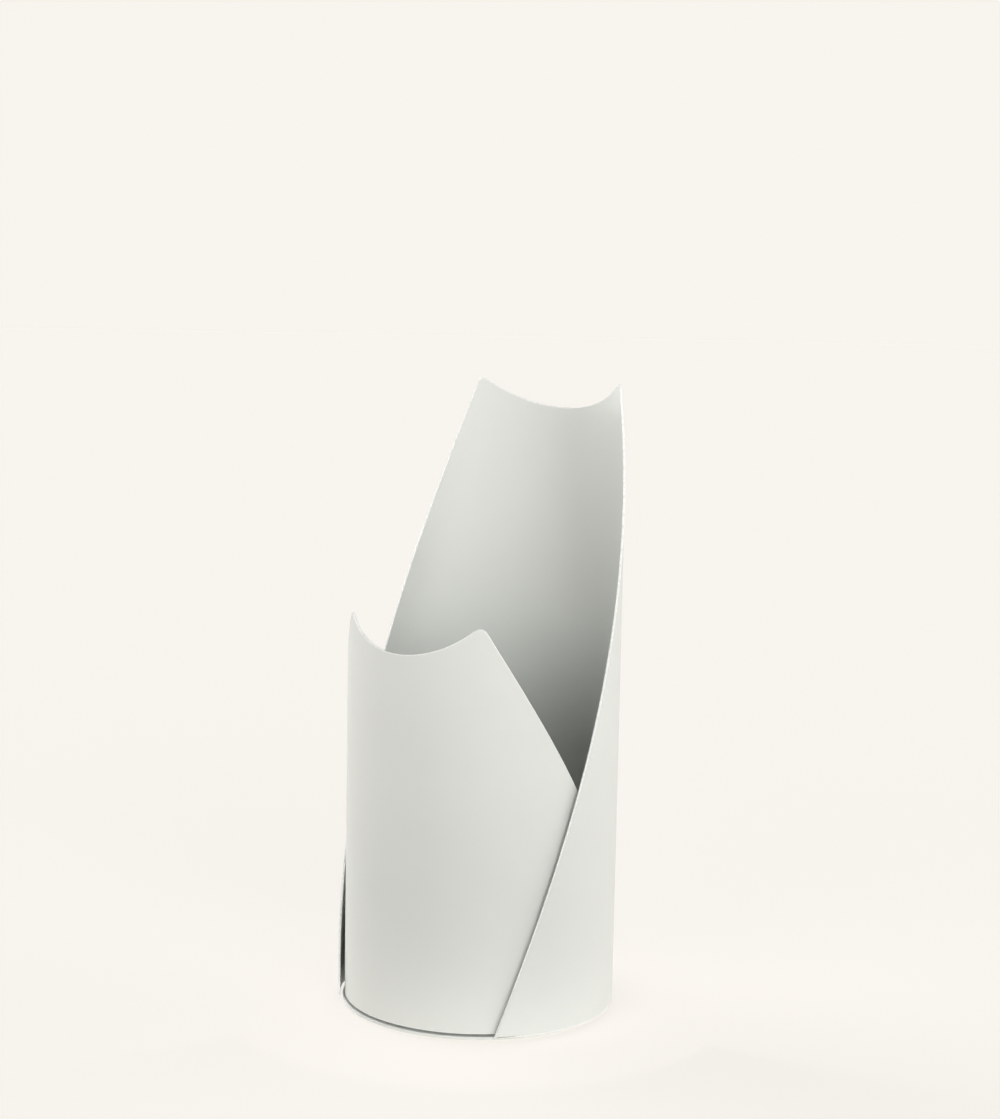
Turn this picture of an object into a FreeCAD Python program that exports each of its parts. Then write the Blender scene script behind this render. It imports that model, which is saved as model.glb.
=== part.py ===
import FreeCAD, Part
import math
import os

# Umbrella stand of two rolled steel sheets, a low one at the front inside a tall one at the back.
# Both are carried by angle brackets on a round base plate, and a loose drip tray lies on that plate.
# Millimetres. Z is the axis of the rolled sheets, Z = 0 the floor, and the front faces -Y.
# Angles round the axis are in degrees from the front, growing towards the right side, +X.

# --- Sheets ---
SHEET = 2.0                  # thickness of both sheets
BACK_RADIUS = 135.0          # outer radius of the tall back sheet
SHEET_GAP = 4.4              # clear space between the two sheets

# Tall back sheet: cut as a trapezium with a dished top edge, then rolled.
BACK_BOTTOM = 4.8            # height of its bottom edge above the floor
BACK_TIP_HEIGHT = 608.0      # height of the corners of the top edge, before rounding
BACK_DISH = 31.0             # depth of the top edge below its corners, at the middle of the back
BACK_OPENING_ANGLE = 44.3    # half of the front opening, at the bottom edge
BACK_TIP_ANGLE = 38.8        # from the middle of the back to a tip
BACK_TIP_ROUND = 6.0
BACK_CORNER_ROUND = 1.5

# Low front sheet: the same kind of blank, rolled to a nearly closed tube at its foot.
FRONT_TIP_HEIGHT = 391.4
FRONT_DISH = 32.4
FRONT_OPENING_ANGLE = 34.0   # half of the opening at the back, at the bottom edge
FRONT_TIP_ANGLE = 36.8       # from the middle of the front to a tip
FRONT_TIP_ROUND = 8.0
FRONT_CORNER_ROUND = 3.0

# --- Base plate and feet ---
BASE_THICKNESS = 3.0
BASE_CLEARANCE = 2.6         # between the plate's rim and the tall sheet
BASE_RIM_CHAMFER = 0.4
FOOT_THICKNESS = 2.0
FOOT_RADIUS = 12.0
FOOT_INSET = 22.4            # from the plate's rim to a foot's centre
FOOT_EDGE_CHAMFER = 0.5
FOOT_ANGLE = 45.0            # of the front pair from the front, and of the back pair from the back

# --- Angle brackets ---
BRACKET_THICKNESS = 2.0
BRACKET_WIDTH = 24.0
BRACKET_UPRIGHT = 22.0
BRACKET_BEND = 3.0           # outer radius of the bend
FRONT_BRACKET_FOOT = 24.0
BACK_BRACKET_FOOT = 28.0
BRACKET_SCREW_INSET = 13.6   # from the sheet's inner face to the screw
SIDE_BRACKET_ANGLE = 105.0   # of the two side brackets from the front
BACK_BRACKET_SHARE = 0.4     # place of the two back brackets in the gap that the front sheet leaves

# --- M5 fasteners ---
THREAD_RADIUS = 2.5
THREAD_CLEARANCE = 0.05
HOLE_RADIUS = 2.75
SOCKET_ACROSS_FLATS = 3.0
BASE_SCREW_LENGTH = 12.0
BASE_SCREW_HEAD_RADIUS = 5.0
BASE_SCREW_SOCKET_DEPTH = 1.6
NUT_ACROSS_FLATS = 8.0
NUT_HEIGHT = 4.0
WASHER_RADIUS = 7.0
WASHER_THICKNESS = 2.0       # it sets the shadow gap under the front sheet
BOSS_RADIUS = 5.0
SHELL_SCREW_END_CLEARANCE = 0.4   # from the screw's end to the tall sheet
SHELL_SCREW_HEAD_RADIUS = 4.75
SHELL_SCREW_HEAD_HEIGHT = 2.75
SHELL_SCREW_HEAD_ROUND = 1.6
SHELL_SCREW_SOCKET_DEPTH = 1.5
UPPER_JOINT_DROP = 63.0      # of the upper sheet-to-sheet joint below the crossing of the two edges
LOWER_JOINT_HEIGHT = 55.0

# --- Drip tray ---
TRAY_WALL = 2.0
TRAY_HEIGHT = 32.0
TRAY_CLEARANCE = 2.85        # from its lip to the nearest screw head
TRAY_BRACKET_CLEARANCE = 3.0   # from its slope to the brackets' feet
TRAY_LIP = 3.0               # how far the lip stands out from the tray's wall
TRAY_BEND = 4.0              # rounding under the tray where its slope meets the floor
EAR_WIDTH = 40.0
EAR_HEIGHT = 26.0
EAR_ROUND = 10.0
EAR_HOLE_RADIUS = 8.0

# --- Sizes that follow from the ones above ---
BACK_INNER = BACK_RADIUS - SHEET
FRONT_RADIUS = BACK_INNER - SHEET_GAP
FRONT_INNER = FRONT_RADIUS - SHEET
BASE_RADIUS = BACK_INNER - BASE_CLEARANCE
BASE_TOP = FOOT_THICKNESS + BASE_THICKNESS
BRACKET_BOTTOM = BASE_TOP + WASHER_THICKNESS
BRACKET_TOP = BRACKET_BOTTOM + BRACKET_THICKNESS
FRONT_BOTTOM = BRACKET_BOTTOM
SHELL_SCREW_LENGTH = SHEET + SHEET_GAP - SHELL_SCREW_END_CLEARANCE

Z_AXIS = FreeCAD.Vector(0, 0, 1)
ORIGIN = FreeCAD.Vector(0, 0, 0)


def turned(shape, angle):
    """The shape, made facing +X, turned to stand at an angle from the front."""
    copy = shape.copy()
    copy.rotate(ORIGIN, Z_AXIS, angle - 90)
    return copy


def point_at(angle, radius, height):
    """The place at an angle from the front, a radius from the axis and a height."""
    turn = math.radians(angle)
    return FreeCAD.Vector(radius * math.sin(turn), -radius * math.cos(turn), height)


# --- Rolled sheets ---
# A blank is drawn flat: s runs along its outer face from the middle of the sheet, z upwards.
# Each corner of the right half is rounded, and the left half is its mirror image.

def corner_arc(line_start, line_end, next_end, radius):
    """Centre and the two tangent points of the arc that rounds the corner at line_end."""
    back = (line_start - line_end).normalize()
    ahead = (next_end - line_end).normalize()
    half = back.getAngle(ahead) / 2
    reach = radius / math.tan(half)
    middle = (back + ahead).normalize() * (radius / math.sin(half))
    return line_end + middle, line_end + back * reach, line_end + ahead * reach


def tip_arc(side_start, tip, top_centre, top_radius, radius):
    """Centre and tangent points of the arc that rounds the tip between a side and the dished top.

    The arc's centre is a radius inside the side, and a radius outside the circle of the top edge:
    the first place where a line beside the side meets a circle round that circle.
    """
    along = (tip - side_start).normalize()
    inward = FreeCAD.Vector(-along.y, along.x, 0)
    foot = side_start + inward * radius
    offset = foot - top_centre
    nearest = -offset.dot(along)
    half_chord = math.sqrt(nearest ** 2 - offset.dot(offset) + (top_radius + radius) ** 2)
    centre = foot + along * (nearest - half_chord)
    on_side = centre - inward * radius
    on_top = top_centre + (centre - top_centre).normalize() * top_radius
    return centre, on_side, on_top


def blank_outline(outer_radius, bottom, bottom_angle, tip, tip_angle, dish, tip_round, corner_round):
    """Lines and arcs round a blank, in order: (centre or None, start, end, turning left)."""
    bottom_width = outer_radius * math.radians(bottom_angle)
    tip_width = outer_radius * math.radians(tip_angle)
    top_radius = (tip_width ** 2 + dish ** 2) / (2 * dish)
    top_centre = FreeCAD.Vector(0, tip - dish + top_radius, 0)
    middle = FreeCAD.Vector(0, bottom, 0)
    corner = FreeCAD.Vector(bottom_width, bottom, 0)
    peak = FreeCAD.Vector(tip_width, tip, 0)
    c_centre, c_start, c_end = corner_arc(middle, corner, peak, corner_round)
    t_centre, t_start, t_end = tip_arc(corner, peak, top_centre, top_radius, tip_round)

    def mirror(place):
        return FreeCAD.Vector(-place.x, place.y, 0)

    return [
        (None, mirror(c_start), c_start, True),
        (c_centre, c_start, c_end, True),
        (None, c_end, t_start, True),
        (t_centre, t_start, t_end, True),
        (top_centre, t_end, mirror(t_end), False),
        (mirror(t_centre), mirror(t_end), mirror(t_start), True),
        (None, mirror(t_start), mirror(c_end), True),
        (mirror(c_centre), mirror(c_end), mirror(c_start), True),
    ]


def wrapped_edge(piece, blank_radius, cylinder):
    """One line or arc of a blank, wrapped round a cylinder about the middle of the sheet.

    A circle of the blank becomes an ellipse in the cylinder's angle and height.
    """
    centre, start, end, turns_left = piece

    def flat(place):
        return FreeCAD.Base.Vector2d(math.pi + place.x / blank_radius, place.y)

    if centre is None:
        return Part.Geom2d.Line2dSegment(flat(start), flat(end)).toShape(cylinder)
    radius = (start - centre).Length
    top = flat(centre + FreeCAD.Vector(0, radius, 0))
    side = flat(centre + FreeCAD.Vector(-radius, 0, 0))
    ellipse = Part.Geom2d.Ellipse2d(top, side, flat(centre))
    first = math.atan2(start.y - centre.y, start.x - centre.x) - math.pi / 2
    last = math.atan2(end.y - centre.y, end.x - centre.x) - math.pi / 2
    if turns_left:
        last += 2 * math.pi * math.ceil((first - last) / (2 * math.pi))
        return Part.Geom2d.ArcOfEllipse2d(ellipse, first, last).toShape(cylinder)
    first += 2 * math.pi * math.ceil((last - first) / (2 * math.pi))
    return Part.Geom2d.ArcOfEllipse2d(ellipse, last, first).toShape(cylinder)


def rolled_sheet(outline, outer_radius, middle_angle):
    """The solid of a rolled blank: two cylindrical faces joined by its cut edges."""
    rims = []
    faces = []
    for radius in (outer_radius, outer_radius - SHEET):
        cylinder = Part.Cylinder()
        cylinder.Radius = radius
        edges = [wrapped_edge(piece, outer_radius, cylinder) for piece in outline]
        rims.append(edges)
        face = Part.Face(cylinder, Part.Wire(edges))
        face.validate()
        faces.append(face)
    for outer_edge, inner_edge in zip(rims[0], rims[1]):
        faces.append(Part.makeRuledSurface(outer_edge, inner_edge))
    shell = Part.Shell(faces)
    shell.sewShape(0.001)
    solid = Part.Solid(shell)
    if solid.Volume < 0:
        solid.reverse()
    solid.rotate(ORIGIN, Z_AXIS, middle_angle + 90)
    return solid


def back_edge_angle(height):
    """Angle from the front of the tall sheet's slanted edge, at a height."""
    tip = 180 - BACK_TIP_ANGLE
    share = (height - BACK_BOTTOM) / (BACK_TIP_HEIGHT - BACK_BOTTOM)
    return BACK_OPENING_ANGLE + (tip - BACK_OPENING_ANGLE) * share


def front_edge_angle(height):
    """Angle from the front of the low sheet's slanted edge, at a height."""
    foot = 180 - FRONT_OPENING_ANGLE
    share = (height - FRONT_BOTTOM) / (FRONT_TIP_HEIGHT - FRONT_BOTTOM)
    return foot + (FRONT_TIP_ANGLE - foot) * share


def crossing_height():
    """Height at which the slanted edges of the two sheets cross, at the foot of the V opening."""
    lead = front_edge_angle(0) - back_edge_angle(0)
    closing = back_edge_angle(1) - back_edge_angle(0) + front_edge_angle(0) - front_edge_angle(1)
    return lead / closing


def shell_joints():
    """Angle and height of each sheet-to-sheet joint: in the middle of the overlap, on both sides."""
    places = []
    for height in (LOWER_JOINT_HEIGHT, crossing_height() - UPPER_JOINT_DROP):
        middle = (back_edge_angle(height) + front_edge_angle(height)) / 2
        places.append((middle, height))
        places.append((-middle, height))
    return places


def radial_rod(angle, height, radius, start, end):
    """A round rod that points away from the axis, from one distance to another."""
    rod = Part.makeCylinder(radius, end - start, FreeCAD.Vector(start, 0, height),
                            FreeCAD.Vector(1, 0, 0))
    return turned(rod, angle)


def back_shell():
    outline = blank_outline(BACK_RADIUS, BACK_BOTTOM, 180 - BACK_OPENING_ANGLE, BACK_TIP_HEIGHT,
                            BACK_TIP_ANGLE, BACK_DISH, BACK_TIP_ROUND, BACK_CORNER_ROUND)
    return rolled_sheet(outline, BACK_RADIUS, 180)


def front_shell():
    outline = blank_outline(FRONT_RADIUS, FRONT_BOTTOM, 180 - FRONT_OPENING_ANGLE,
                            FRONT_TIP_HEIGHT, FRONT_TIP_ANGLE, FRONT_DISH,
                            FRONT_TIP_ROUND, FRONT_CORNER_ROUND)
    sheet = rolled_sheet(outline, FRONT_RADIUS, 0)
    for angle, height in shell_joints():
        sheet = sheet.cut(radial_rod(angle, height, HOLE_RADIUS, FRONT_INNER - SHEET, BACK_INNER))
    return sheet


# --- Brackets: short lengths of angle, bent to the sheet they are welded to ---

def bracket_places():
    """Name, angle, inner radius of the sheet it is welded to and foot length of each bracket."""
    back = FRONT_OPENING_ANGLE * BACK_BRACKET_SHARE
    return [
        ("bracket_front", 0, FRONT_INNER, FRONT_BRACKET_FOOT),
        ("bracket_right", SIDE_BRACKET_ANGLE, FRONT_INNER, FRONT_BRACKET_FOOT),
        ("bracket_left", -SIDE_BRACKET_ANGLE, FRONT_INNER, FRONT_BRACKET_FOOT),
        ("bracket_back_right", 180 - back, BACK_INNER, BACK_BRACKET_FOOT),
        ("bracket_back_left", back - 180, BACK_INNER, BACK_BRACKET_FOOT),
    ]


def base_screw_places():
    """Angle and distance from the axis of each screw through the base plate."""
    return [(angle, radius - BRACKET_SCREW_INSET) for _, angle, radius, _ in bracket_places()]


def bend_arc(centre, radius):
    """Quarter circle about a centre in the XZ plane, from below it to its right."""
    below = centre + FreeCAD.Vector(0, 0, -radius)
    right = centre + FreeCAD.Vector(radius, 0, 0)
    slant = radius * math.sqrt(0.5)
    return Part.Arc(below, centre + FreeCAD.Vector(slant, 0, -slant), right).toShape()


def bracket(angle, radius, foot):
    """An L section turned about the axis, so that its upright lies on the sheet."""
    low = BRACKET_BOTTOM
    high = low + BRACKET_UPRIGHT
    inner_bend = BRACKET_BEND - BRACKET_THICKNESS
    centre = FreeCAD.Vector(radius - BRACKET_BEND, 0, low + BRACKET_BEND)
    outer = bend_arc(centre, BRACKET_BEND)
    inner = bend_arc(centre, inner_bend)
    corners = [
        FreeCAD.Vector(radius, 0, high),
        FreeCAD.Vector(radius - BRACKET_THICKNESS, 0, high),
        FreeCAD.Vector(radius - foot, 0, low + BRACKET_THICKNESS),
        FreeCAD.Vector(radius - foot, 0, low),
    ]
    edges = [
        outer,
        Part.makeLine(outer.Vertexes[1].Point, corners[0]),
        Part.makeLine(corners[0], corners[1]),
        Part.makeLine(corners[1], inner.Vertexes[1].Point),
        inner,
        Part.makeLine(inner.Vertexes[0].Point, corners[2]),
        Part.makeLine(corners[2], corners[3]),
        Part.makeLine(corners[3], outer.Vertexes[0].Point),
    ]
    section = Part.Face(Part.Wire(Part.__sortEdges__(edges)))
    width = math.degrees(BRACKET_WIDTH / radius)
    section.rotate(ORIGIN, Z_AXIS, -width / 2)
    angle_iron = section.revolve(ORIGIN, Z_AXIS, width)
    hole = Part.makeCylinder(HOLE_RADIUS, BRACKET_UPRIGHT,
                             FreeCAD.Vector(radius - BRACKET_SCREW_INSET, 0, 0))
    return turned(angle_iron.cut(hole), angle)


# --- Base plate and feet ---

def base_plate():
    """Round plate with a countersunk hole under each bracket."""
    plate = Part.makeCylinder(BASE_RADIUS, BASE_THICKNESS, FreeCAD.Vector(0, 0, FOOT_THICKNESS))
    plate = plate.makeChamfer(BASE_RIM_CHAMFER, plate.Edges)
    sink = BASE_SCREW_HEAD_RADIUS - THREAD_RADIUS
    for angle, radius in base_screw_places():
        centre = point_at(angle, radius, FOOT_THICKNESS)
        plate = plate.cut(Part.makeCylinder(HOLE_RADIUS, BASE_THICKNESS, centre))
        plate = plate.cut(Part.makeCone(BASE_SCREW_HEAD_RADIUS, THREAD_RADIUS, sink, centre))
    return plate


def foot(angle):
    """Flat rubber pad stuck under the base plate."""
    pad = Part.makeCylinder(FOOT_RADIUS, FOOT_THICKNESS,
                            point_at(angle, BASE_RADIUS - FOOT_INSET, 0))
    rim = [edge for edge in pad.Edges if edge.Curve.TypeId == "Part::GeomCircle"
           and edge.BoundBox.ZMax < FOOT_THICKNESS / 2]
    return pad.makeChamfer(FOOT_EDGE_CHAMFER, rim)


# --- Fasteners ---

def hex_prism(across_flats, height, low):
    """Six-sided prism about the Z axis."""
    reach = across_flats / math.sqrt(3)
    corners = []
    for side in range(7):
        turn = math.radians(60 * side)
        corners.append(FreeCAD.Vector(reach * math.cos(turn), reach * math.sin(turn), low))
    return Part.Face(Part.makePolygon(corners)).extrude(FreeCAD.Vector(0, 0, height))


def base_screw():
    """Countersunk screw about the Z axis, head flush with the underside of the plate."""
    sink = BASE_SCREW_HEAD_RADIUS - THREAD_RADIUS
    head = Part.makeCone(BASE_SCREW_HEAD_RADIUS, THREAD_RADIUS, sink)
    screw = head.fuse(Part.makeCylinder(THREAD_RADIUS, BASE_SCREW_LENGTH)).removeSplitter()
    return screw.cut(hex_prism(SOCKET_ACROSS_FLATS, BASE_SCREW_SOCKET_DEPTH, 0))


def washer():
    ring = Part.makeCylinder(WASHER_RADIUS, WASHER_THICKNESS)
    return ring.cut(Part.makeCylinder(HOLE_RADIUS, WASHER_THICKNESS))


def weld_nut():
    nut = hex_prism(NUT_ACROSS_FLATS, NUT_HEIGHT, 0)
    return nut.cut(Part.makeCylinder(THREAD_RADIUS + THREAD_CLEARANCE, NUT_HEIGHT))


def under_each_bracket(fastener, height):
    """One copy of an upright fastener at each screw through the base plate."""
    copies = []
    for angle, radius in base_screw_places():
        copy = fastener.copy()
        copy.translate(point_at(angle, radius, height))
        copies.append(copy)
    return Part.makeCompound(copies)


def shell_bosses():
    """Threaded distance pieces welded to the tall sheet, which fill the gap to the front sheet."""
    tall = 2 * BOSS_RADIUS
    bosses = []
    for angle, height in shell_joints():
        low = FreeCAD.Vector(0, 0, height - BOSS_RADIUS)
        space = Part.makeCylinder(BACK_INNER, tall, low).cut(Part.makeCylinder(FRONT_RADIUS, tall, low))
        rod = radial_rod(angle, height, BOSS_RADIUS, FRONT_INNER, BACK_RADIUS)
        bore = radial_rod(angle, height, THREAD_RADIUS + THREAD_CLEARANCE, FRONT_INNER, BACK_RADIUS)
        bosses.append(rod.common(space).cut(bore))
    return Part.makeCompound(bosses)


def shell_screw():
    """Low-headed screw about the Z axis: head below Z = 0, thread above it."""
    head = Part.makeCylinder(SHELL_SCREW_HEAD_RADIUS, SHELL_SCREW_HEAD_HEIGHT,
                             FreeCAD.Vector(0, 0, -SHELL_SCREW_HEAD_HEIGHT))
    crown = [edge for edge in head.Edges if edge.BoundBox.ZMax < -SHELL_SCREW_HEAD_HEIGHT / 2]
    head = head.makeFillet(SHELL_SCREW_HEAD_ROUND, crown)
    screw = head.fuse(Part.makeCylinder(THREAD_RADIUS, SHELL_SCREW_LENGTH)).removeSplitter()
    return screw.cut(hex_prism(SOCKET_ACROSS_FLATS, SHELL_SCREW_SOCKET_DEPTH, -SHELL_SCREW_HEAD_HEIGHT))


def shell_screws():
    """Screws from inside the stand, through the front sheet into the bosses."""
    seat = math.sqrt(FRONT_INNER ** 2 - SHELL_SCREW_HEAD_RADIUS ** 2)
    screws = []
    for angle, height in shell_joints():
        screw = shell_screw()
        screw.rotate(ORIGIN, FreeCAD.Vector(0, 1, 0), 90)
        screw.translate(FreeCAD.Vector(seat, 0, height))
        screws.append(turned(screw, angle))
    return Part.makeCompound(screws)


# --- Drip tray ---

def drip_tray():
    """Moulded dish that slopes over the brackets and nuts, with two ears to lift it by."""
    lip_radius = FRONT_INNER - SHELL_SCREW_HEAD_HEIGHT - TRAY_CLEARANCE
    wall_radius = lip_radius - TRAY_LIP
    floor = BASE_TOP
    floor_radius = FRONT_INNER - FRONT_BRACKET_FOOT - TRAY_BRACKET_CLEARANCE - (BRACKET_TOP - floor)
    top = floor + TRAY_HEIGHT
    slope_top = floor + wall_radius - floor_radius
    corner_shift = TRAY_WALL * (math.sqrt(2) - 1)
    section = Part.Face(Part.makePolygon([
        FreeCAD.Vector(0, 0, floor),
        FreeCAD.Vector(floor_radius, 0, floor),
        FreeCAD.Vector(wall_radius, 0, slope_top),
        FreeCAD.Vector(wall_radius, 0, top - TRAY_WALL),
        FreeCAD.Vector(lip_radius, 0, top - TRAY_WALL),
        FreeCAD.Vector(lip_radius, 0, top),
        FreeCAD.Vector(wall_radius - TRAY_WALL, 0, top),
        FreeCAD.Vector(wall_radius - TRAY_WALL, 0, slope_top + corner_shift),
        FreeCAD.Vector(floor_radius - corner_shift, 0, floor + TRAY_WALL),
        FreeCAD.Vector(0, 0, floor + TRAY_WALL),
        FreeCAD.Vector(0, 0, floor),
    ]))
    dish = section.revolve(ORIGIN, Z_AXIS, 360)
    knuckle = [edge for edge in dish.Edges if edge.BoundBox.ZMax - edge.BoundBox.ZMin < TRAY_WALL / 2
               and abs(edge.BoundBox.XMax - floor_radius) < TRAY_WALL / 2
               and edge.BoundBox.ZMax < floor + TRAY_WALL / 2]
    dish = dish.makeFillet(TRAY_BEND, knuckle)
    for angle in (0, 180):
        dish = dish.fuse(tray_ear(angle, wall_radius, slope_top, top))
    return dish.removeSplitter()


def tray_ear(angle, wall_radius, low, rim):
    """Upstanding part of the tray's wall with rounded corners and a finger hole."""
    high = rim + EAR_HEIGHT
    ring = Part.makeCylinder(wall_radius, high - low, FreeCAD.Vector(0, 0, low))
    ring = ring.cut(Part.makeCylinder(wall_radius - TRAY_WALL, high - low, FreeCAD.Vector(0, 0, low)))
    block = Part.makeBox(wall_radius, EAR_WIDTH, high - low, FreeCAD.Vector(0, -EAR_WIDTH / 2, low))
    corners = [edge for edge in block.Edges if edge.BoundBox.ZMin > rim
               and edge.BoundBox.YMax - edge.BoundBox.YMin < EAR_ROUND]
    block = block.makeFillet(EAR_ROUND, corners)
    hole = Part.makeCylinder(EAR_HOLE_RADIUS, wall_radius,
                             FreeCAD.Vector(0, 0, rim + EAR_HEIGHT / 2), FreeCAD.Vector(1, 0, 0))
    return turned(ring.common(block).cut(hole), angle)


def build():
    """Every piece of the stand by name."""
    pieces = {
        "back_shell": back_shell(),
        "front_shell": front_shell(),
        "base_plate": base_plate(),
        "drip_tray": drip_tray(),
        "foot_front_right": foot(FOOT_ANGLE),
        "foot_front_left": foot(-FOOT_ANGLE),
        "foot_back_right": foot(180 - FOOT_ANGLE),
        "foot_back_left": foot(FOOT_ANGLE - 180),
        "base_screws": under_each_bracket(base_screw(), FOOT_THICKNESS),
        "base_washers": under_each_bracket(washer(), BASE_TOP),
        "weld_nuts": under_each_bracket(weld_nut(), BRACKET_TOP),
        "shell_bosses": shell_bosses(),
        "shell_screws": shell_screws(),
    }
    for name, angle, radius, foot_length in bracket_places():
        pieces[name] = bracket(angle, radius, foot_length)
    return pieces


os.makedirs("parts", exist_ok=True)
for name, shape in build().items():
    shape.exportStep("parts/" + name + ".step")
    print(name, len(shape.Solids), "solids", round(shape.Volume), "mm3", shape.isValid())
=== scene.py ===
import math

import bpy
import numpy as np
from mathutils import Matrix, Vector


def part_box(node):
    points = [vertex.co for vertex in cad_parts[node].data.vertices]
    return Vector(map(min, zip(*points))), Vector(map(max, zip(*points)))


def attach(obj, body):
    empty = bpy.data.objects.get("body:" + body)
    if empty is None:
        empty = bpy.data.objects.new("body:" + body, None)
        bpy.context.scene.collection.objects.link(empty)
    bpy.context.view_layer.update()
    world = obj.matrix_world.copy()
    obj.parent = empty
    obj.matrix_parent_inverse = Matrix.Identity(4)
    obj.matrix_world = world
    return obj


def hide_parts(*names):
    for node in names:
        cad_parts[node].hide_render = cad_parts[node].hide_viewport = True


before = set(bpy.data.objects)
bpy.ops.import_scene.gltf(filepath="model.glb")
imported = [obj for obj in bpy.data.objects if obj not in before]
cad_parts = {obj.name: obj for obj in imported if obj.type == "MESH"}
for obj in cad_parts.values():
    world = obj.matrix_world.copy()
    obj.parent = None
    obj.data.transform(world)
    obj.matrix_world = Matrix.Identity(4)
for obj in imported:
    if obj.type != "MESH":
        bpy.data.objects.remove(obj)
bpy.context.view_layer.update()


# --- Camera ---
# A long lens a little above the tall sheet's tips, looking down at the stand from front right.
# The camera is rolled about its own line of sight by a degree, as a hand-held one is.

CAMERA_PLACE = (1.2262, -1.6494, 0.6947)
CAMERA_AZIMUTH, CAMERA_PITCH, CAMERA_ROLL = 36.168, 7.1897, 1.0833
CAMERA_LENS, CAMERA_SENSOR = 69.23, 36.0


def aim_camera(place, azimuth, pitch, roll, lens):
    """Camera at a place; its line of sight is (-sin azimuth, cos azimuth), dipped by the pitch."""
    azimuth, pitch, roll = math.radians(azimuth), math.radians(pitch), math.radians(roll)
    level = Vector((-math.sin(azimuth), math.cos(azimuth), 0.0))
    sight = level * math.cos(pitch) - Vector((0.0, 0.0, math.sin(pitch)))
    right = level.cross(Vector((0.0, 0.0, 1.0)))
    up = right.cross(sight)
    rolled_right = right * math.cos(roll) + up * math.sin(roll)
    rolled_up = up * math.cos(roll) - right * math.sin(roll)
    data = bpy.data.cameras.new("camera")
    data.lens = lens
    data.sensor_width = CAMERA_SENSOR
    data.clip_start = 0.05
    data.clip_end = 100.0
    camera = bpy.data.objects.new("camera", data)
    axes = Matrix((rolled_right, rolled_up, -sight)).transposed()
    camera.matrix_world = Matrix.Translation(place) @ axes.to_4x4()
    bpy.context.scene.collection.objects.link(camera)
    bpy.context.scene.camera = camera


aim_camera(Vector(CAMERA_PLACE), CAMERA_AZIMUTH, CAMERA_PITCH, CAMERA_ROLL, CAMERA_LENS)


# --- Light ---
# A white studio: five large soft lamps stand low round the object, one overhead reaches down into
# it, and the floor fills in from below. The room itself gives hardly any light.

PALE = (0.939, 0.905, 0.855)
ROOM_LIGHT = (0.012, 0.012, 0.012)
WIDE, NARROW = 50.0, 10.0
# name, azimuth from the front, height above the floor, strength, spread
LAMPS = (
    ("lamp_overhead", 0.0, 90.0, 0.300, NARROW),
    ("lamp_left", -90.0, 8.0, 0.820, WIDE),
    ("lamp_front", 0.0, 8.0, 0.390, WIDE),
    ("lamp_front_right", 60.0, 8.0, 0.730, WIDE),
    ("lamp_right", 120.0, 8.0, 0.300, WIDE),
    ("lamp_back_right", 150.0, 8.0, 0.330, WIDE),
)
bpy.context.scene.view_settings.view_transform = "Standard"


def white_room(light, backdrop):
    """World that lights with one colour and shows another behind the object."""
    world = bpy.data.worlds.new("room")
    bpy.context.scene.world = world
    world.use_nodes = True
    nodes, links = world.node_tree.nodes, world.node_tree.links
    nodes.clear()
    out = nodes.new("ShaderNodeOutputWorld")
    lit = nodes.new("ShaderNodeBackground")
    lit.inputs["Color"].default_value = (*light, 1.0)
    seen = nodes.new("ShaderNodeBackground")
    seen.inputs["Color"].default_value = (*backdrop, 1.0)
    path = nodes.new("ShaderNodeLightPath")
    mix = nodes.new("ShaderNodeMixShader")
    links.new(path.outputs["Is Camera Ray"], mix.inputs["Fac"])
    links.new(lit.outputs["Background"], mix.inputs[1])
    links.new(seen.outputs["Background"], mix.inputs[2])
    links.new(mix.outputs["Shader"], out.inputs["Surface"])


def soft_lamp(name, azimuth, height, strength, spread):
    """Sun from an azimuth (0 in front, 90 to the right) and a height; all angles in degrees.

    Sampling by importance is off, because with it the dark card's outline showed on the floor.
    """
    data = bpy.data.lights.new(name, "SUN")
    data.energy = math.pi * strength
    data.angle = math.radians(spread)
    data.cycles.use_multiple_importance_sampling = False
    lamp = bpy.data.objects.new(name, data)
    turn, rise = math.radians(azimuth), math.radians(height)
    level = math.cos(rise)
    towards = Vector((math.sin(turn) * level, -math.cos(turn) * level, math.sin(rise)))
    lamp.matrix_world = towards.to_track_quat("Z", "Y").to_matrix().to_4x4()
    bpy.context.scene.collection.objects.link(lamp)


white_room(ROOM_LIGHT, PALE)
for lamp_facts in LAMPS:
    soft_lamp(*lamp_facts)


# --- Floor ---
# A pale seamless studio floor that glows, so that it runs into the backdrop without a line.
# On it in front, hidden from the camera, lies part of a ring of matt black card, which takes some
# light off the foot of the low sheet.

FLOOR_RADIUS, FLOOR_RINGS, FLOOR_SPOKES = 30.0, 24, 65
FLOOR_COLOUR = (0.311, 0.300, 0.283)
FLOOR_GLOW = (0.701, 0.675, 0.638)
CARD_INNER, CARD_OUTER = 0.25, 0.60
CARD_MIDDLE, CARD_HALF, CARD_SPOKES = 36.2, 60.0, 25
CARD_HEIGHT = 0.002
CARD_BLACK = (0.02, 0.02, 0.02)
NO_GLOW = (0.0, 0.0, 0.0)


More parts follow.
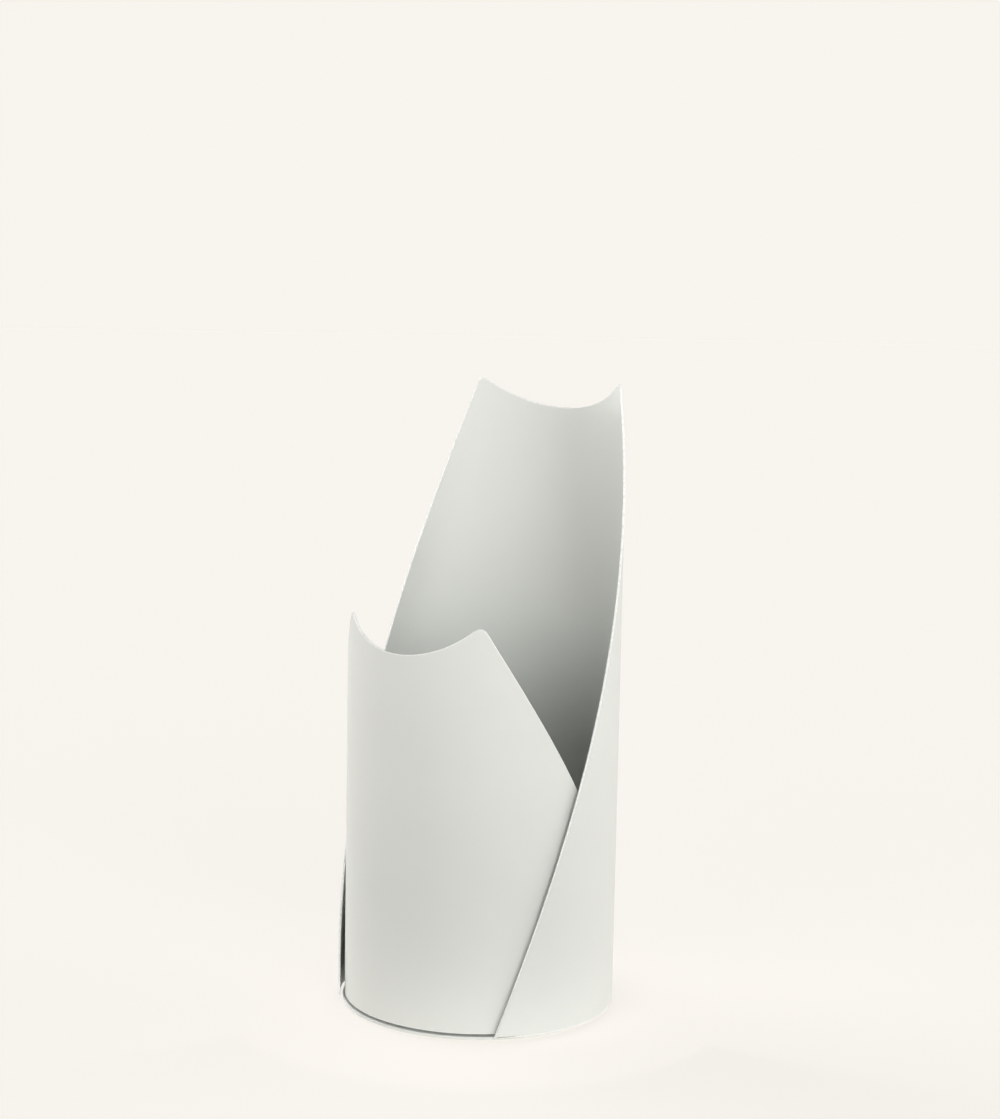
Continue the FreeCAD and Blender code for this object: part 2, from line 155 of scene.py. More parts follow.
def ring_sheet(name, reach, turn, height):
    """Flat net of points at radii and angles from the front, at one height."""
    x = reach[:, None] * np.sin(turn)
    y = -reach[:, None] * np.cos(turn)
    points = np.stack([x, y, np.full_like(x, height)], axis=-1).reshape(-1, 3)
    spokes = len(turn)
    i, j = np.meshgrid(np.arange(len(reach) - 1), np.arange(spokes - 1), indexing="ij")
    corner = i * spokes + j
    quads = np.stack([corner, corner + spokes, corner + spokes + 1, corner + 1], axis=-1)
    mesh = bpy.data.meshes.new(name)
    mesh.from_pydata(points.tolist(), [], quads.reshape(-1, 4).tolist())
    sheet = bpy.data.objects.new(name, mesh)
    bpy.context.scene.collection.objects.link(sheet)
    return sheet


def matt_paint(name, colour, glow):
    """Plain matt material that may glow."""
    material = bpy.data.materials.new(name)
    material.use_nodes = True
    shader = material.node_tree.nodes["Principled BSDF"]
    shader.inputs["Base Color"].default_value = (*colour, 1.0)
    shader.inputs["Roughness"].default_value = 1.0
    shader.inputs["Specular IOR Level"].default_value = 0.0
    shader.inputs["Emission Color"].default_value = (*glow, 1.0)
    shader.inputs["Emission Strength"].default_value = 1.0
    return material


floor = ring_sheet("floor", FLOOR_RADIUS * np.linspace(0.0, 1.0, FLOOR_RINGS) ** 3,
                   np.linspace(0, 2 * np.pi, FLOOR_SPOKES), 0.0)
floor.data.materials.append(matt_paint("studio_floor", FLOOR_COLOUR, FLOOR_GLOW))
card_turn = np.linspace(CARD_MIDDLE - CARD_HALF, CARD_MIDDLE + CARD_HALF, CARD_SPOKES)
card = ring_sheet("dark_card", np.array([CARD_INNER, CARD_OUTER]), np.radians(card_turn),
                  CARD_HEIGHT)
card.data.materials.append(matt_paint("black_card", CARD_BLACK, NO_GLOW))
card.visible_camera = False
card.visible_shadow = False


# --- Base plate ---
# A round plate of 3 mm steel with five countersunk holes and an eased rim.
# Like the sheets it is sprayed with off-white satin powder and baked, which leaves an orange peel.

def coat_film_group():
    """Slow clouds change colour and gloss, rubbed streaks shine, and the height is an orange peel.

    Colour is the base colour times one plus the clouds' share, and goes towards a painted
    highlight colour where the mask says so, broken up by a fine noise.
    """
    group = bpy.data.node_groups.new("coat_film", "ShaderNodeTree")
    face = group.interface
    for socket, kind in (("Colour", "Color"), ("Edge Highlight", "Color"), ("Edge", "Float"),
                         ("Uneven", "Float"), ("Roughness", "Float"), ("Peel Size", "Float")):
        face.new_socket(socket, in_out="INPUT", socket_type="NodeSocket" + kind)
    for socket, kind in (("Colour", "Color"), ("Roughness", "Float"), ("Height", "Float")):
        face.new_socket(socket, in_out="OUTPUT", socket_type="NodeSocket" + kind)
    nodes, links = group.nodes, group.links
    start = nodes.new("NodeGroupInput")
    end = nodes.new("NodeGroupOutput")
    place = nodes.new("ShaderNodeTexCoord")

    def noise(scale, detail, rough, vector):
        made = nodes.new("ShaderNodeTexNoise")
        made.inputs["Scale"].default_value = scale
        made.inputs["Detail"].default_value = detail
        made.inputs["Roughness"].default_value = rough
        links.new(vector, made.inputs["Vector"])
        return made.outputs["Fac"]

    def spread(value, low, high, bottom, top):
        made = nodes.new("ShaderNodeMapRange")
        made.inputs["From Min"].default_value = low
        made.inputs["From Max"].default_value = high
        made.inputs["To Min"].default_value = bottom
        made.inputs["To Max"].default_value = top
        links.new(value, made.inputs["Value"])
        return made.outputs["Result"]

    def sums(operation, first, second):
        made = nodes.new("ShaderNodeMath")
        made.operation = operation
        for socket, value in zip(made.inputs, (first, second)):
            if isinstance(value, float):
                socket.default_value = value
            else:
                links.new(value, socket)
        return made.outputs["Value"]

    here = place.outputs["Object"]
    stretch = nodes.new("ShaderNodeMapping")
    stretch.inputs["Scale"].default_value = (1.0, 1.0, 0.12)
    links.new(here, stretch.inputs["Vector"])
    clouds = spread(noise(9.0, 3.0, 0.5, here), 0.35, 0.65, -0.5, 0.5)
    rubbed = spread(noise(70.0, 4.0, 0.6, stretch.outputs["Vector"]), 0.60, 0.72, 0.0, 1.0)
    gain = sums("ADD", sums("MULTIPLY", clouds, start.outputs["Uneven"]), 1.0)
    tint = nodes.new("ShaderNodeVectorMath")
    tint.operation = "SCALE"
    links.new(start.outputs["Colour"], tint.inputs[0])
    links.new(gain, tint.inputs["Scale"])
    # A fine noise breaks up the Edge mask, and there a paler colour is mixed in: a painted
    # highlight on the cut edges.
    broken = spread(noise(420.0, 3.0, 0.6, here), 0.35, 0.60, 0.3, 1.0)
    mix = nodes.new("ShaderNodeMix")
    mix.data_type = "RGBA"
    links.new(sums("MULTIPLY", start.outputs["Edge"], broken), mix.inputs["Factor"])
    links.new(tint.outputs["Vector"], mix.inputs["A"])
    links.new(start.outputs["Edge Highlight"], mix.inputs["B"])
    links.new(mix.outputs["Result"], end.inputs["Colour"])
    shine = sums("SUBTRACT", gain, sums("MULTIPLY", rubbed, 0.10))
    links.new(sums("MULTIPLY", start.outputs["Roughness"], shine), end.inputs["Roughness"])
    peel = nodes.new("ShaderNodeTexNoise")
    peel.inputs["Detail"].default_value = 2.0
    peel.inputs["Roughness"].default_value = 0.4
    links.new(here, peel.inputs["Vector"])
    links.new(start.outputs["Peel Size"], peel.inputs["Scale"])
    fine = noise(2600.0, 1.0, 0.5, here)
    links.new(sums("ADD", peel.outputs["Fac"], sums("MULTIPLY", fine, 0.25)), end.inputs["Height"])
    return group


COAT_FILM = coat_film_group()


def powder_coat(name, colour, edge_highlight, uneven, roughness, peel_size, peel_depth,
                edge_layer=None):
    """Satin powder coat; where a mesh marks its cut edges, a paler colour is painted on as a
    highlight.
    """
    material = bpy.data.materials.new(name)
    material.use_nodes = True
    nodes, links = material.node_tree.nodes, material.node_tree.links
    shader = nodes["Principled BSDF"]
    film = nodes.new("ShaderNodeGroup")
    film.node_tree = COAT_FILM
    film.inputs["Colour"].default_value = (*colour, 1.0)
    film.inputs["Edge Highlight"].default_value = (*edge_highlight, 1.0)
    film.inputs["Uneven"].default_value = uneven
    film.inputs["Roughness"].default_value = roughness
    film.inputs["Peel Size"].default_value = peel_size
    if edge_layer:
        marked = nodes.new("ShaderNodeAttribute")
        marked.attribute_name = edge_layer
        links.new(marked.outputs["Fac"], film.inputs["Edge"])
    bump = nodes.new("ShaderNodeBump")
    bump.inputs["Distance"].default_value = peel_depth
    links.new(film.outputs["Colour"], shader.inputs["Base Color"])
    links.new(film.outputs["Roughness"], shader.inputs["Roughness"])
    links.new(film.outputs["Height"], bump.inputs["Height"])
    links.new(bump.outputs["Normal"], shader.inputs["Normal"])
    return material


def finish_node(name, material):
    """Gives a CAD node a new material in place of its plain one."""
    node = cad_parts[name]
    node.data.materials.clear()
    node.data.materials.append(material)


FRAME_COLOUR = (0.666, 0.682, 0.647)
FRAME_COAT = powder_coat("frame_coat", FRAME_COLOUR, FRAME_COLOUR, uneven=0.05, roughness=0.46,
                         peel_size=560.0, peel_depth=0.00004)
finish_node("base_plate", FRAME_COAT)


# --- Feet ---
# Four round pads of black rubber, 2 mm thick, moulded with an eased lower rim.
# They are stuck under the base plate near its rim, between the screws.

def moulded_grain_group():
    """Colour and roughness are multiplied by one plus a slow noise's share; the height is a stipple
    from the mould's surface, the distance to scattered points."""
    group = bpy.data.node_groups.new("moulded_grain", "ShaderNodeTree")
    face = group.interface
    for socket, kind in (("Colour", "Color"), ("Uneven", "Float"), ("Roughness", "Float"),
                         ("Grain Size", "Float")):
        face.new_socket(socket, in_out="INPUT", socket_type="NodeSocket" + kind)
    for socket, kind in (("Colour", "Color"), ("Roughness", "Float"), ("Height", "Float")):
        face.new_socket(socket, in_out="OUTPUT", socket_type="NodeSocket" + kind)
    nodes, links = group.nodes, group.links
    start = nodes.new("NodeGroupInput")
    end = nodes.new("NodeGroupOutput")
    place = nodes.new("ShaderNodeTexCoord")
    flow = nodes.new("ShaderNodeTexNoise")
    flow.inputs["Scale"].default_value = 24.0
    flow.inputs["Detail"].default_value = 4.0
    links.new(place.outputs["Object"], flow.inputs["Vector"])
    share = nodes.new("ShaderNodeMath")
    share.operation = "SUBTRACT"
    share.inputs[1].default_value = 0.5
    links.new(flow.outputs["Fac"], share.inputs[0])
    gain = nodes.new("ShaderNodeMath")
    gain.operation = "MULTIPLY_ADD"
    gain.inputs[2].default_value = 1.0
    links.new(share.outputs["Value"], gain.inputs[0])
    links.new(start.outputs["Uneven"], gain.inputs[1])
    tint = nodes.new("ShaderNodeVectorMath")
    tint.operation = "SCALE"
    links.new(start.outputs["Colour"], tint.inputs[0])
    links.new(gain.outputs["Value"], tint.inputs["Scale"])
    links.new(tint.outputs["Vector"], end.inputs["Colour"])
    gloss = nodes.new("ShaderNodeMath")
    gloss.operation = "MULTIPLY"
    links.new(start.outputs["Roughness"], gloss.inputs[0])
    links.new(gain.outputs["Value"], gloss.inputs[1])
    links.new(gloss.outputs["Value"], end.inputs["Roughness"])
    grain = nodes.new("ShaderNodeTexVoronoi")
    grain.feature = "SMOOTH_F1"
    links.new(place.outputs["Object"], grain.inputs["Vector"])
    links.new(start.outputs["Grain Size"], grain.inputs["Scale"])
    links.new(grain.outputs["Distance"], end.inputs["Height"])
    return group


MOULDED_GRAIN = moulded_grain_group()


def moulded(name, colour, uneven, roughness, grain_size, grain_depth):
    """Moulded plastic or rubber with a stippled skin."""
    material = bpy.data.materials.new(name)
    material.use_nodes = True
    nodes, links = material.node_tree.nodes, material.node_tree.links
    shader = nodes["Principled BSDF"]
    skin = nodes.new("ShaderNodeGroup")
    skin.node_tree = MOULDED_GRAIN
    skin.inputs["Colour"].default_value = (*colour, 1.0)
    skin.inputs["Uneven"].default_value = uneven
    skin.inputs["Roughness"].default_value = roughness
    skin.inputs["Grain Size"].default_value = grain_size
    bump = nodes.new("ShaderNodeBump")
    bump.inputs["Distance"].default_value = grain_depth
    links.new(skin.outputs["Colour"], shader.inputs["Base Color"])
    links.new(skin.outputs["Roughness"], shader.inputs["Roughness"])
    links.new(skin.outputs["Height"], bump.inputs["Height"])
    links.new(bump.outputs["Normal"], shader.inputs["Normal"])
    return material


RUBBER = moulded("foot_rubber", (0.03, 0.03, 0.03), uneven=0.4, roughness=0.8,
                 grain_size=1400.0, grain_depth=0.00006)
for name in ("foot_front_right", "foot_front_left", "foot_back_right", "foot_back_left"):
    finish_node(name, RUBBER)


# --- Tall sheet ---
# A blank of 2 mm sheet steel, cut with slanted sides and a dished top edge, and rolled to a tube
# that is open at the front. Its cut edges are eased before coating: a small round on each side.

SHEET = 0.002
EDGE_ROUND = 0.0005
SHADING_STRIP = 0.0009       # beside each cut edge, to hold the shading of the face
FACE_ROWS = 64
WELD_REACH = 1e-7
TALL_RADIUS = 0.135
TALL_HALF_FOOT, TALL_HALF_TOP = TALL_RADIUS * math.radians(135.7), TALL_RADIUS * math.radians(38.8)
TALL_FOOT, TALL_TIP, TALL_DISH = 0.0048, 0.608, 0.031
TALL_TIP_ROUND, TALL_CORNER_ROUND = 0.006, 0.0015
# The cut edges get a paler colour, a painted highlight.
SHEET_COLOUR, CUT_EDGE_HIGHLIGHT = (0.674, 0.690, 0.654), (0.92, 0.92, 0.905)


def blank_edges(half_bottom, bottom, half_tip, tip, dish, tip_round, corner_round):
    """Lower and upper edge of a flat blank from its left end to its right, with outward normals.

    The right half's upper edge runs from the end: a corner arc, a slanted side, a tip arc, and a
    dished top whose circle passes the tip and dips by the dish. Its lower edge is a corner arc and
    a straight foot. The left half is the mirror image.
    """
    corner = np.array([half_bottom, bottom])
    peak = np.array([half_tip, tip])
    along = (peak - corner) / np.linalg.norm(peak - corner)
    out = np.array([along[1], -along[0]])
    top_radius = (half_tip ** 2 + dish ** 2) / (2 * dish)
    top_centre = np.array([0.0, tip - dish + top_radius])
    # corner arc: a radius above the foot and a radius inside the side
    rise = bottom + corner_round
    shift = (rise - corner[1] + corner_round * out[1]) / along[1]
    corner_centre = corner - corner_round * out + along * shift
    # tip arc: a radius inside the side and a radius outside the circle of the top
    base = corner - tip_round * out
    gap = base - top_centre
    nearest = -gap @ along
    half_chord = math.sqrt(nearest ** 2 - gap @ gap + (top_radius + tip_round) ** 2)
    tip_centre = base + along * (nearest - half_chord)
    to_top = (top_centre - tip_centre) / np.linalg.norm(top_centre - tip_centre)
    side_turn = math.atan2(out[1], out[0])
    top_turn = math.atan2(to_top[1], to_top[0])

    def arc(centre, radius, first, last, count):
        turn = np.linspace(first, last, count)
        normal = np.stack([np.cos(turn), np.sin(turn)], axis=-1)
        return centre + radius * normal, normal

    corner_points, tip_points, side_points, top_points = 5, 17, 90, 28
    corner_up, corner_up_n = arc(corner_centre, corner_round, 0.0, side_turn, corner_points)
    tip_arc, tip_arc_n = arc(tip_centre, tip_round, side_turn, top_turn, tip_points)
    share = np.linspace(0, 1, side_points)[1:-1, None]
    side = corner_up[-1] + (tip_arc[0] - corner_up[-1]) * share
    side_n = np.broadcast_to(out, side.shape)
    start = math.atan2(*(tip_arc[-1] - top_centre)[::-1])
    turn = np.linspace(start, -math.pi / 2, top_points)[1:]
    top = top_centre + top_radius * np.stack([np.cos(turn), np.sin(turn)], axis=-1)
    top_n = (top_centre - top) / top_radius
    upper = np.vstack([corner_up, side, tip_arc, top])
    upper_n = np.vstack([corner_up_n, side_n, tip_arc_n, top_n])
    # lower edge: as many points, at nearly the same distances from the middle
    lower_arc, lower_arc_n = arc(corner_centre, corner_round, 0.0, -math.pi / 2, corner_points)
    rest = upper[corner_points:, 0] * (lower_arc[-1, 0] / corner_up[-1, 0])
    foot = np.stack([rest, np.full_like(rest, bottom)], axis=-1)
    lower = np.vstack([lower_arc, foot])
    lower_n = np.vstack([lower_arc_n, np.broadcast_to([0.0, -1.0], foot.shape)])

    def both(half, sign):
        left = half[:-1] * np.array([sign, 1.0])
        return np.vstack([left, half[::-1]])

    return both(lower, -1), both(lower_n, -1), both(upper, -1), both(upper_n, -1)


def rounded_rim(thickness, size):
    """Profile over a cut edge: inset from it and depth from the outer face, by quarter circles."""
    turn = np.linspace(0, np.pi / 2, 5)
    inset = size * (1 - np.sin(turn))
    depth = size * (1 - np.cos(turn))
    return (np.concatenate([inset, inset[::-1]]),
            np.concatenate([depth, thickness - depth[::-1]]))


def rows_between(length, rows):
    """Shares of a column from edge to edge: even rows, and one close to each end."""
    even = np.linspace(0, 1, rows)
    shortest, largest_share = 1e-9, 0.12
    near = np.minimum(SHADING_STRIP / np.maximum(length, shortest), largest_share)[:, None]
    even = np.broadcast_to(even, (len(length), rows))
    return np.concatenate([even[:, :1], near, even[:, 1:-1], 1 - near, even[:, -1:]], axis=1)


def welded_shell(grid, closed, marks=None):
    """Points, faces and marks of a grid, with points that coincide made one.

    A face with one side of no length becomes a triangle, and one with two is left out. The volume
    follows the sum of the corners' triple products; where it is negative, all faces are turned.
    """
    rows, columns = grid.shape[:2]
    points = grid.reshape(-1, 3)
    keys = np.round(points / WELD_REACH).astype(np.int64)
    _, first, same = np.unique(keys, axis=0, return_index=True, return_inverse=True)
    same = same.reshape(-1)
    across = columns if closed else columns - 1
    i, j = np.meshgrid(np.arange(rows - 1), np.arange(across), indexing="ij")
    here, there = i * columns, (i + 1) * columns
    following = (j + 1) % columns
    quads = np.stack([here + j, here + following, there + following, there + j], axis=-1)
    quads = same[quads.reshape(-1, 4)]
    points = points[first]
    a, b, c, d = (points[quads[:, k]] for k in range(4))
    volume = np.sum(a * np.cross(b, c)) + np.sum(a * np.cross(c, d))
    if volume < 0:
        quads = quads[:, ::-1]
    flat = quads == np.roll(quads, -1, axis=1)
    whole = quads[~flat.any(axis=1)]
    one_flat = flat.sum(axis=1) == 1
    kept = np.arange(4) != flat[one_flat].argmax(axis=1)[:, None]
    faces = whole.tolist() + quads[one_flat][kept].reshape(-1, 3).tolist()
    if marks is None:
        marks = np.zeros((rows, columns))
    return points, faces, marks.reshape(-1)[first]


def mesh_of_shells(name, shells):
    """One smooth mesh of several closed shells; the marks become the point layer "cut_edge"."""
    points, faces, marks, count = [], [], [], 0
    for shell_points, shell_faces, shell_marks in shells:
        points.append(shell_points)
        faces += [[corner + count for corner in face] for face in shell_faces]
        marks.append(shell_marks)
        count += len(shell_points)
    mesh = bpy.data.meshes.new(name)
    mesh.from_pydata(np.vstack(points).tolist(), [], faces)
    layer = mesh.attributes.new("cut_edge", "FLOAT", "POINT")
    layer.data.foreach_set("value", np.concatenate(marks).astype(np.float32))
    mesh.shade_smooth()
    return mesh


def rolled_sheet(name, radius, facing, edges):
    """Closed surface of a rolled blank.

    Each column is a ring: up the outer face, over the top edge, down the inner face, and over the
    lower edge. A place s along the blank stands at the angle s / radius from its middle.
    """
    lower, lower_n, upper, upper_n = edges
    inset, depth = rounded_rim(SHEET, EDGE_ROUND)
    low_in = lower - lower_n * EDGE_ROUND
    up_in = upper - upper_n * EDGE_ROUND
    length = np.linalg.norm(up_in - low_in, axis=1)
    share = rows_between(length, FACE_ROWS)[:, :, None]
    face = low_in[:, None] + (up_in - low_in)[:, None] * share
    top = upper[:, None] - upper_n[:, None] * inset[None, 1:-1, None]
    foot = lower[:, None] - lower_n[:, None] * inset[None, 1:-1, None]
    flat = np.concatenate([face, top, face[:, ::-1], foot[:, ::-1]], axis=1)
    count = face.shape[1]
    below = np.concatenate([np.zeros(count), depth[1:-1], np.full(count, SHEET), depth[1:-1][::-1]])
    on_face = np.zeros(count)
    on_face[[0, -1]] = 0.7       # the painted highlight fades from the cut edge across the first strip
    cut = np.ones(len(depth) - 2)
    marks = np.broadcast_to(np.concatenate([on_face, cut, on_face, cut]), flat.shape[:2])
    turn = facing + flat[..., 0] / radius
    reach = radius - below
    grid = np.stack([reach * np.sin(turn), -reach * np.cos(turn), flat[..., 1]], axis=-1)
    return mesh_of_shells(name, [welded_shell(grid, True, marks)])


def add_piece(name, mesh, material, slot, body, *nodes):
    """Puts a mesh in the scene as a piece that rides on a body and stands for CAD nodes."""
    piece = bpy.data.objects.new(name, mesh)
    bpy.context.scene.collection.objects.link(piece)
    mesh.materials.append(material)
    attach(piece, body)
    if nodes:
        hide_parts(*nodes)
    return piece


SHEET_COAT = powder_coat("sheet_coat", SHEET_COLOUR, CUT_EDGE_HIGHLIGHT, uneven=0.02, roughness=0.42,
                         peel_size=650.0, peel_depth=0.00003, edge_layer="cut_edge")
tall_edges = blank_edges(TALL_HALF_FOOT, TALL_FOOT, TALL_HALF_TOP, TALL_TIP, TALL_DISH,
                         TALL_TIP_ROUND, TALL_CORNER_ROUND)
add_piece("tall_sheet", rolled_sheet("tall_sheet", TALL_RADIUS, math.pi, tall_edges),
          SHEET_COAT, "powder_coat", "stand", "back_shell")


# --- Brackets and bosses of the tall sheet ---
# Two short angle brackets are seam-welded along their top edge to the inside of the tall sheet, and
# four short bosses are welded on for the low sheet's screws. All of it is coated together.

SEAM_SIZE, SEAM_HALF_LENGTH = 0.0013, 0.0112
SEAM_INSET, SEAM_RISE = 0.0005, 0.0002       # from the sheet's face and the bracket's top
SEAM_RIPPLE, SEAM_RIPPLES = 0.10, 9
SEAM_ROWS, SEAM_SIDES = 97, 14


def weld_bead(middle, half, radius, height):
    """Rippled seam along an arc: a round section that fades at the ends by the root of 1 - t^6."""
    along = np.linspace(-1.0, 1.0, SEAM_ROWS)
    around = np.linspace(0, 2 * np.pi, SEAM_SIDES, endpoint=False)
    turn = middle + half * along
    ripple = 1.0 + SEAM_RIPPLE * np.abs(np.cos(along * SEAM_RIPPLES * np.pi))
    swell = SEAM_SIZE * np.sqrt(1.0 - along ** 6) * ripple
    reach = radius + swell[:, None] * np.cos(around)
    rise = height + swell[:, None] * np.sin(around)
    x, y = reach * np.sin(turn)[:, None], -reach * np.cos(turn)[:, None]
    return welded_shell(np.stack([x, y, rise], axis=-1), True)


def bracket_seams(name, brackets, sheet_radius):
    """One bead along the top edge of each bracket, in the corner that it makes with the sheet."""
    beads = []
    for bracket in brackets:
        low, high = (np.array(corner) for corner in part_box(bracket))
        x, y, _ = (low + high) / 2
        beads.append(weld_bead(math.atan2(x, -y), SEAM_HALF_LENGTH / sheet_radius,
                               sheet_radius - SEAM_INSET, high[2] + SEAM_RISE))
    add_piece(name, mesh_of_shells(name, beads), FRAME_COAT, "powder_coat", "stand")


for name in ("bracket_back_right", "bracket_back_left", "shell_bosses"):
    finish_node(name, FRAME_COAT)
bracket_seams("weld_seams_tall", ("bracket_back_right", "bracket_back_left"), TALL_RADIUS - SHEET)


# --- Low sheet ---
# The same kind of blank, rolled a little smaller to a tube that nearly closes at its foot.
# It stands inside the tall sheet and screws to the bosses; the holes lie under the screws' heads.

LOW_RADIUS = 0.1286
LOW_HALF_FOOT, LOW_HALF_TOP = LOW_RADIUS * math.radians(146.0), LOW_RADIUS * math.radians(36.8)
LOW_FOOT, LOW_TIP, LOW_DISH = 0.007, 0.3914, 0.0324
LOW_TIP_ROUND, LOW_CORNER_ROUND = 0.008, 0.003

low_edges = blank_edges(LOW_HALF_FOOT, LOW_FOOT, LOW_HALF_TOP, LOW_TIP, LOW_DISH,
                        LOW_TIP_ROUND, LOW_CORNER_ROUND)
add_piece("low_sheet", rolled_sheet("low_sheet", LOW_RADIUS, 0.0, low_edges),
          SHEET_COAT, "powder_coat", "stand", "front_shell")


# --- Brackets of the low sheet ---
# Three angle brackets of bent 2 mm steel, seam-welded inside its foot: one in the middle of the
# front and one on each side.

LOW_BRACKETS = ("bracket_front", "bracket_right", "bracket_left")
for name in LOW_BRACKETS:
    finish_node(name, FRAME_COAT)
bracket_seams("weld_seams_low", LOW_BRACKETS, LOW_RADIUS - SHEET)


# --- Screws, nuts and washers ---
# Zinc-plated M5 screws: five countersunk ones rise through the base plate, nylon washers and the
# brackets into hexagon nuts welded on top. Four low-headed ones hold the low sheet to the bosses.

def zinc_plate():
    """Metal with a soft grain: roughness, colour and height all follow one noise."""
    material = bpy.data.materials.new("zinc_plate")
    material.use_nodes = True
    nodes, links = material.node_tree.nodes, material.node_tree.links
    shader = nodes["Principled BSDF"]
    shader.inputs["Metallic"].default_value = 1.0
    place = nodes.new("ShaderNodeTexCoord")
    grain = nodes.new("ShaderNodeTexNoise")
    grain.inputs["Scale"].default_value = 480.0
    grain.inputs["Detail"].default_value = 5.0
    links.new(place.outputs["Object"], grain.inputs["Vector"])
    colours = nodes.new("ShaderNodeValToRGB")
    colours.color_ramp.elements[0].position = 0.3
    colours.color_ramp.elements[0].color = (0.50, 0.51, 0.53, 1.0)
    colours.color_ramp.elements[1].position = 0.7
    colours.color_ramp.elements[1].color = (0.68, 0.68, 0.67, 1.0)
    links.new(grain.outputs["Fac"], colours.inputs["Fac"])
    links.new(colours.outputs["Color"], shader.inputs["Base Color"])
    gloss = nodes.new("ShaderNodeMapRange")
    gloss.inputs["To Min"].default_value = 0.22
    gloss.inputs["To Max"].default_value = 0.50
    links.new(grain.outputs["Fac"], gloss.inputs["Value"])
    links.new(gloss.outputs["Result"], shader.inputs["Roughness"])
    bump = nodes.new("ShaderNodeBump")
    bump.inputs["Distance"].default_value = 0.00001
    links.new(grain.outputs["Fac"], bump.inputs["Height"])
    links.new(bump.outputs["Normal"], shader.inputs["Normal"])
    return material


ZINC = zinc_plate()
for name in ("base_screws", "weld_nuts", "shell_screws"):
    finish_node(name, ZINC)
NYLON = moulded("washer_nylon", (0.76, 0.75, 0.69), uneven=0.1, roughness=0.5,
                grain_size=1600.0, grain_depth=0.00003)
finish_node("base_washers", NYLON)


# --- Drip tray ---
# A dish moulded in grey plastic that lies loose on the base plate. Its side slopes over the
# brackets, low rings on its floor keep the tips out of the water, and it lifts out by two ears.

TRAY_BOTTOM, TRAY_TOP = 0.005, 0.037
TRAY_FLOOR, TRAY_WALL, TRAY_LIP = 0.0956, 0.118, 0.121
TRAY_SKIN = 0.002
RING_HEIGHT, RING_HALF = 0.0007, 0.0016
RING_RADII = (0.026, 0.050, 0.074)
EAR_HALF, EAR_TOP, EAR_ROUND = 0.020, 0.063, 0.010
EAR_SKIN, EAR_FACE = 0.0017, 0.11785       # its foot is hidden inside the dish's wall
EAR_FOOT, EAR_FOOT_ROUND = 0.030, 0.001
HOLE_RADIUS, HOLE_HEIGHT = 0.008, 0.050
TRAY_KNUCKLE, TRAY_SHOULDER, LIP_ROUND = 0.004, 0.003, 0.0008
TRAY_INNER_KNUCKLE, TRAY_INNER_SHOULDER = 0.003, 0.002
TRAY_STEP, TRAY_SPOKES, RING_STEPS = 0.004, 145, 11
RINGED_FLOOR, MOULDED_END = 0.078, 0.080   # radii where the ringed floor and the outline meet
EAR_STEP, EAR_FACE_ROWS = 0.001, 12


def rounded_path(corners, rounds, steps=6):
    """Open path through corners; at each inner one an arc touches both sides.

    It touches them at the size of the round over the tangent of half the corner's angle.
    """
    corners = np.array(corners, dtype=float)
    path = [corners[:1]]
    for before, here, after, size in zip(corners[:-2], corners[1:-1], corners[2:], rounds):
        back = (before - here) / np.linalg.norm(before - here)
        ahead = (after - here) / np.linalg.norm(after - here)
        half = math.acos(np.clip(back @ ahead, -1.0, 1.0)) / 2
        centre = here + (back + ahead) / np.linalg.norm(back + ahead) * size / math.sin(half)
        first = here + back * size / math.tan(half) - centre
        last = here + ahead * size / math.tan(half) - centre
        sweep = math.pi - 2 * half
        share = np.linspace(0.0, 1.0, steps)[:, None]
        arc = (np.sin((1 - share) * sweep) * first + np.sin(share * sweep) * last) / math.sin(sweep)
        path.append(centre + arc)
    path.append(corners[-1:])
    return np.vstack(path)


def divided(path, step):
    """The same path with its long runs cut into pieces no longer than a step."""
    length = np.linalg.norm(np.diff(path, axis=0), axis=1)
    walked = np.concatenate([[0.0], np.cumsum(length)])
    places = np.unique(np.concatenate([walked, np.arange(0.0, walked[-1], step)]))
    too_close = 0.02 * step
    places = places[np.concatenate([[True], np.diff(places) > too_close])]
    return np.stack([np.interp(places, walked, path[:, k]) for k in range(2)], axis=-1)


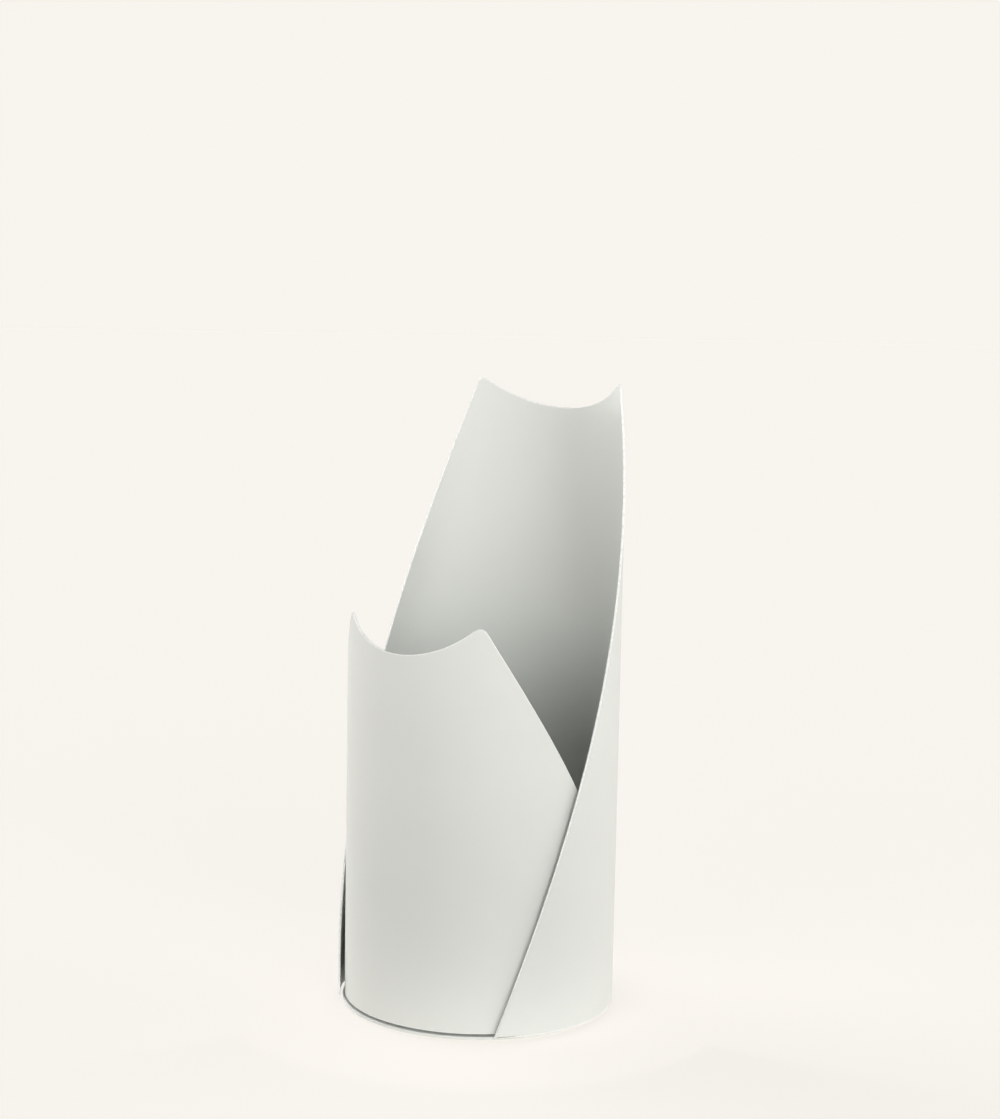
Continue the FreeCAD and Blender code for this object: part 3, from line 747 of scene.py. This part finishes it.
def tray_dish():
    """Surface of revolution: the outline goes out under the floor, up the slope and wall, over the
    lip, down inside and back along the floor, where each ring is a parabola across its width."""
    skew = TRAY_SKIN * (math.sqrt(2) - 1)
    knee = TRAY_BOTTOM + TRAY_WALL - TRAY_FLOOR
    inside, under_lip = TRAY_WALL - TRAY_SKIN, TRAY_TOP - TRAY_SKIN
    floor_top = TRAY_BOTTOM + TRAY_SKIN
    corners = [(0.0, TRAY_BOTTOM), (TRAY_FLOOR, TRAY_BOTTOM), (TRAY_WALL, knee),
               (TRAY_WALL, under_lip), (TRAY_LIP, under_lip), (TRAY_LIP, TRAY_TOP),
               (inside, TRAY_TOP), (inside, knee + skew), (TRAY_FLOOR - skew, floor_top),
               (MOULDED_END, floor_top)]
    rounds = (TRAY_KNUCKLE, TRAY_SHOULDER, LIP_ROUND, LIP_ROUND, LIP_ROUND, LIP_ROUND,
              TRAY_INNER_SHOULDER, TRAY_INNER_KNUCKLE)
    skin = divided(rounded_path(corners, rounds), TRAY_STEP)
    across = np.linspace(-1.0, 1.0, RING_STEPS)
    rings = np.concatenate([centre + RING_HALF * across for centre in RING_RADII])
    inward = np.sort(np.concatenate([rings, np.arange(0.0, RINGED_FLOOR, TRAY_STEP)]))[::-1]
    rise = np.zeros_like(inward)
    for centre in RING_RADII:
        rise += RING_HEIGHT * np.clip(1.0 - ((inward - centre) / RING_HALF) ** 2, 0.0, None)
    floor_line = np.stack([inward, floor_top + rise], axis=-1)
    outline = np.vstack([skin, floor_line])
    turn = np.linspace(0, 2 * np.pi, TRAY_SPOKES)
    reach, height = outline[:, 0], outline[:, 1]
    grid = np.stack([reach * np.sin(turn)[:, None], -reach * np.cos(turn)[:, None],
                     np.broadcast_to(height, (len(turn), len(height)))], axis=-1)
    return welded_shell(grid, False)


def tray_ear(side):
    """Ring round the finger hole: out along the outer face, over the ear's rim, back along the
    inner face and through the hole. A point x across stands at y = side * sqrt(reach^2 - x^2)."""
    corners = [(0.0, EAR_FOOT), (EAR_HALF, EAR_FOOT), (EAR_HALF, EAR_TOP),
               (-EAR_HALF, EAR_TOP), (-EAR_HALF, EAR_FOOT), (0.0, EAR_FOOT)]
    rounds = (EAR_FOOT_ROUND, EAR_ROUND, EAR_ROUND, EAR_FOOT_ROUND)
    outline = divided(rounded_path(corners, rounds, steps=14), EAR_STEP)
    from_hole = outline - [0.0, HOLE_HEIGHT]
    span = np.linalg.norm(from_hole, axis=1)[:, None]
    along = from_hole / span
    width = span - HOLE_RADIUS
    inset, depth = rounded_rim(EAR_SKIN, EDGE_ROUND)
    face = EDGE_ROUND + (width - 2 * EDGE_ROUND) * np.linspace(0.0, 1.0, EAR_FACE_ROWS)
    rim = width - inset[1:-1]
    hole = np.broadcast_to(inset[1:-1][::-1], rim.shape)
    out = HOLE_RADIUS + np.concatenate([face, rim, face[:, ::-1], hole], axis=1)
    count = face.shape[1]
    below = np.concatenate([np.zeros(count), depth[1:-1],
                            np.full(count, EAR_SKIN), depth[1:-1][::-1]])
    x = out * along[:, :1]
    z = HOLE_HEIGHT + out * along[:, 1:]
    y = side * np.sqrt((EAR_FACE - below) ** 2 - x ** 2)
    return welded_shell(np.stack([x, y, z], axis=-1), True)


TRAY_PLASTIC = moulded("tray_plastic", (0.24, 0.25, 0.25), uneven=0.15, roughness=0.48,
                       grain_size=1100.0, grain_depth=0.00005)
add_piece("drip_dish", mesh_of_shells("drip_dish", [tray_dish(), tray_ear(-1), tray_ear(1)]),
          TRAY_PLASTIC, "tray_plastic", "tray", "drip_tray")
